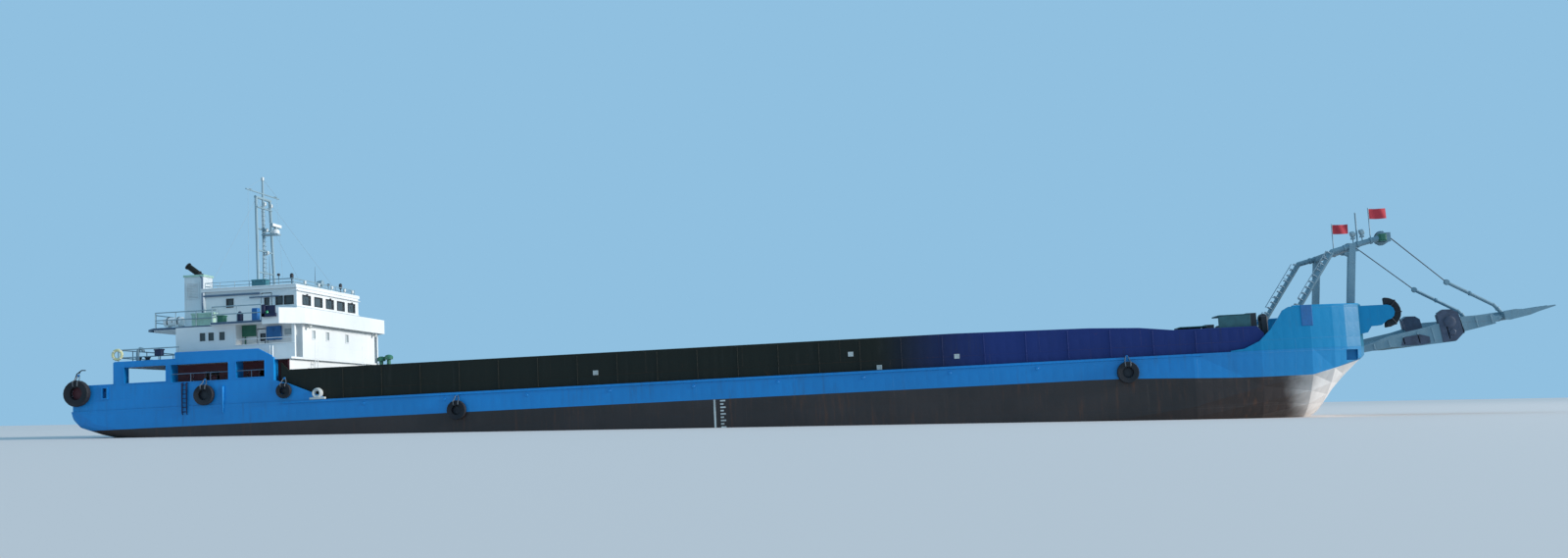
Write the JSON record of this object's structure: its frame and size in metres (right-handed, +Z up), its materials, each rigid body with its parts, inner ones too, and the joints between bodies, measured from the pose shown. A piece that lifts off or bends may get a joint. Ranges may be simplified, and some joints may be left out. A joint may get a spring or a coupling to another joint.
{
  "type": "river barge with a bow ramp, 1:10 scale model",
  "caption": "Self-propelled flat-decked river barge, 1:10 model: aft deckhouse and wheelhouse, long open cargo deck between low walls, gantry-hung bow ramp with tip flap.",
  "frame": {"origin": "middle of the overall length, on the centre line, at the level of the flat bottom", "axes": "+X towards the bow, +Y to port, +Z up"},
  "size_m": [9.3093, 1.6746, 2.06],
  "materials": {
    "hull_paint": "semi-gloss blue topsides over a dark bottom",
    "topside_blue": "semi-gloss",
    "wall_black": "worn satin black",
    "house_white": "satin white",
    "house_red": "matte oxide red",
    "mast_grey": "satin",
    "locker_teal": "satin",
    "ramp_grey": "worn satin blue grey",
    "screw_bronze": "dull bronze",
    "tyre": "matte",
    "machinery": "greasy dark paint",
    "flag_cloth": "plain red cloth"
  },
  "bodies": {
    "ship": {"hull": "hull_paint", "stern_bulwark": "topside_blue", "poop_deck": "house_white", "main_house": "house_red", "poop_house": "house_white", "bridge_deck": "house_white", "bridge_bulwark": "house_white", "wheelhouse": "house_white", "wheelhouse_roof": "house_white", "funnel": "house_white", "exhaust_pipe": "wall_black", "mast": "mast_grey", "roof_locker": "locker_teal", "gantry": "ramp_grey", "poop_rail": "mast_grey", "bridge_rail": "mast_grey", "anchor_port": "machinery", "side_plating_stbd": "topside_blue", "side_plating_port": "topside_blue", "cargo_wall_stbd": "wall_black", "cargo_wall_port": "wall_black", "bow_bulwark_stbd": "topside_blue", "bow_bulwark_port": "topside_blue", "shaft_bossing_stbd": "wall_black", "shaft_bossing_port": "wall_black", "windlass_seat_stbd": "machinery", "windlass_seat_port": "machinery", "flag_stbd": "flag_cloth", "flag_port": "flag_cloth", "life_raft_stbd": "house_white", "life_raft_port": "house_white", "tyre_stern_stbd": "tyre", "tyre_stern_port": "tyre", "tyre_quarter_stbd": "tyre", "tyre_quarter_port": "tyre", "tyre_house_stbd": "tyre", "tyre_house_port": "tyre", "tyre_waist_stbd": "tyre", "tyre_waist_port": "tyre", "tyre_shoulder_stbd": "tyre", "tyre_shoulder_port": "tyre", "tyre_bow_stbd": "tyre", "tyre_bow_port": "tyre"},
    "ramp": {"ramp_span": "ramp_grey"},
    "flap": {"ramp_flap": "ramp_grey"},
    "screw_stbd": {"screw_stbd": "screw_bronze"},
    "screw_port": {"screw_port": "screw_bronze"},
    "rudder_stbd": {"rudder_stbd": "wall_black"},
    "rudder_port": {"rudder_port": "wall_black"},
    "radar": {"radar_scanner": "mast_grey"},
    "drum_stbd": {"windlass_drum_stbd": "machinery"},
    "drum_port": {"windlass_drum_port": "machinery"},
    "sheave_stbd": {"sheave_stbd": "machinery"},
    "sheave_port": {"sheave_port": "machinery"},
    "bridge_door_stbd": {"wheelhouse_door_stbd": "house_white"},
    "bridge_door_port": {"wheelhouse_door_port": "house_white"},
    "poop_door_stbd": {"poop_door_stbd": "house_white"},
    "poop_door_port": {"poop_door_port": "house_white"}
  },
  "joints": [
    {"name": "ramp_hinge", "type": "hinge", "parent": "ship", "child": "ramp", "pos_m": [3.47254, 0, 0.455], "axis": [0, -1, 0], "range_deg": [-30, 30]},
    {"name": "flap_hinge", "type": "hinge", "parent": "ramp", "child": "flap", "pos_m": [4.31919, 0, 0.617], "axis": [0, -1, 0], "range_deg": [-45, 30]},
    {"name": "screw_stbd_spin", "type": "hinge", "parent": "ship", "child": "screw_stbd", "pos_m": [-4.02246, -0.34, 0.115], "axis": [1, 0, 0], "continuous": true},
    {"name": "screw_port_spin", "type": "hinge", "parent": "ship", "child": "screw_port", "pos_m": [-4.02246, 0.34, 0.115], "axis": [1, 0, 0], "continuous": true},
    {"name": "rudder_port_turn", "type": "hinge", "parent": "ship", "child": "rudder_port", "pos_m": [-4.23246, 0.34, 0.13], "axis": [0, 0, 1], "range_deg": [-35, 35]},
    {"name": "rudder_stbd_turn", "type": "hinge", "parent": "ship", "child": "rudder_stbd", "pos_m": [-4.23246, -0.34, 0.13], "axis": [0, 0, 1], "range_deg": [-35, 35]},
    {"name": "radar_turn", "type": "hinge", "parent": "ship", "child": "radar", "pos_m": [-3.62246, 0, 1.7], "axis": [0, 0, 1], "continuous": true},
    {"name": "drum_stbd_turn", "type": "hinge", "parent": "ship", "child": "drum_stbd", "pos_m": [2.63754, -0.63, 0.64], "axis": [0, 1, 0], "continuous": true},
    {"name": "drum_port_turn", "type": "hinge", "parent": "ship", "child": "drum_port", "pos_m": [2.63754, 0.63, 0.64], "axis": [0, 1, 0], "continuous": true},
    {"name": "sheave_stbd_turn", "type": "hinge", "parent": "ship", "child": "sheave_stbd", "pos_m": [3.65754, -0.33, 1.15], "axis": [0, 1, 0], "continuous": true},
    {"name": "sheave_port_turn", "type": "hinge", "parent": "ship", "child": "sheave_port", "pos_m": [3.65754, 0.33, 1.15], "axis": [0, 1, 0], "continuous": true},
    {"name": "bridge_door_stbd_swing", "type": "hinge", "parent": "ship", "child": "bridge_door_stbd", "pos_m": [-3.48646, -0.515, 1.1], "axis": [0, 0, -1], "range_deg": [0, 110]},
    {"name": "bridge_door_port_swing", "type": "hinge", "parent": "ship", "child": "bridge_door_port", "pos_m": [-3.48646, 0.515, 1.1], "axis": [0, 0, 1], "range_deg": [0, 110]},
    {"name": "poop_door_stbd_swing", "type": "hinge", "parent": "ship", "child": "poop_door_stbd", "pos_m": [-3.47146, -0.61, 0.85], "axis": [0, 0, -1], "range_deg": [0, 110]},
    {"name": "poop_door_port_swing", "type": "hinge", "parent": "ship", "child": "poop_door_port", "pos_m": [-3.47146, 0.61, 0.85], "axis": [0, 0, 1], "range_deg": [0, 110]}
  ],
  "couplings": [
    {"joint": "rudder_stbd_turn", "follows": "rudder_port_turn", "ratio": 1}
  ]
}
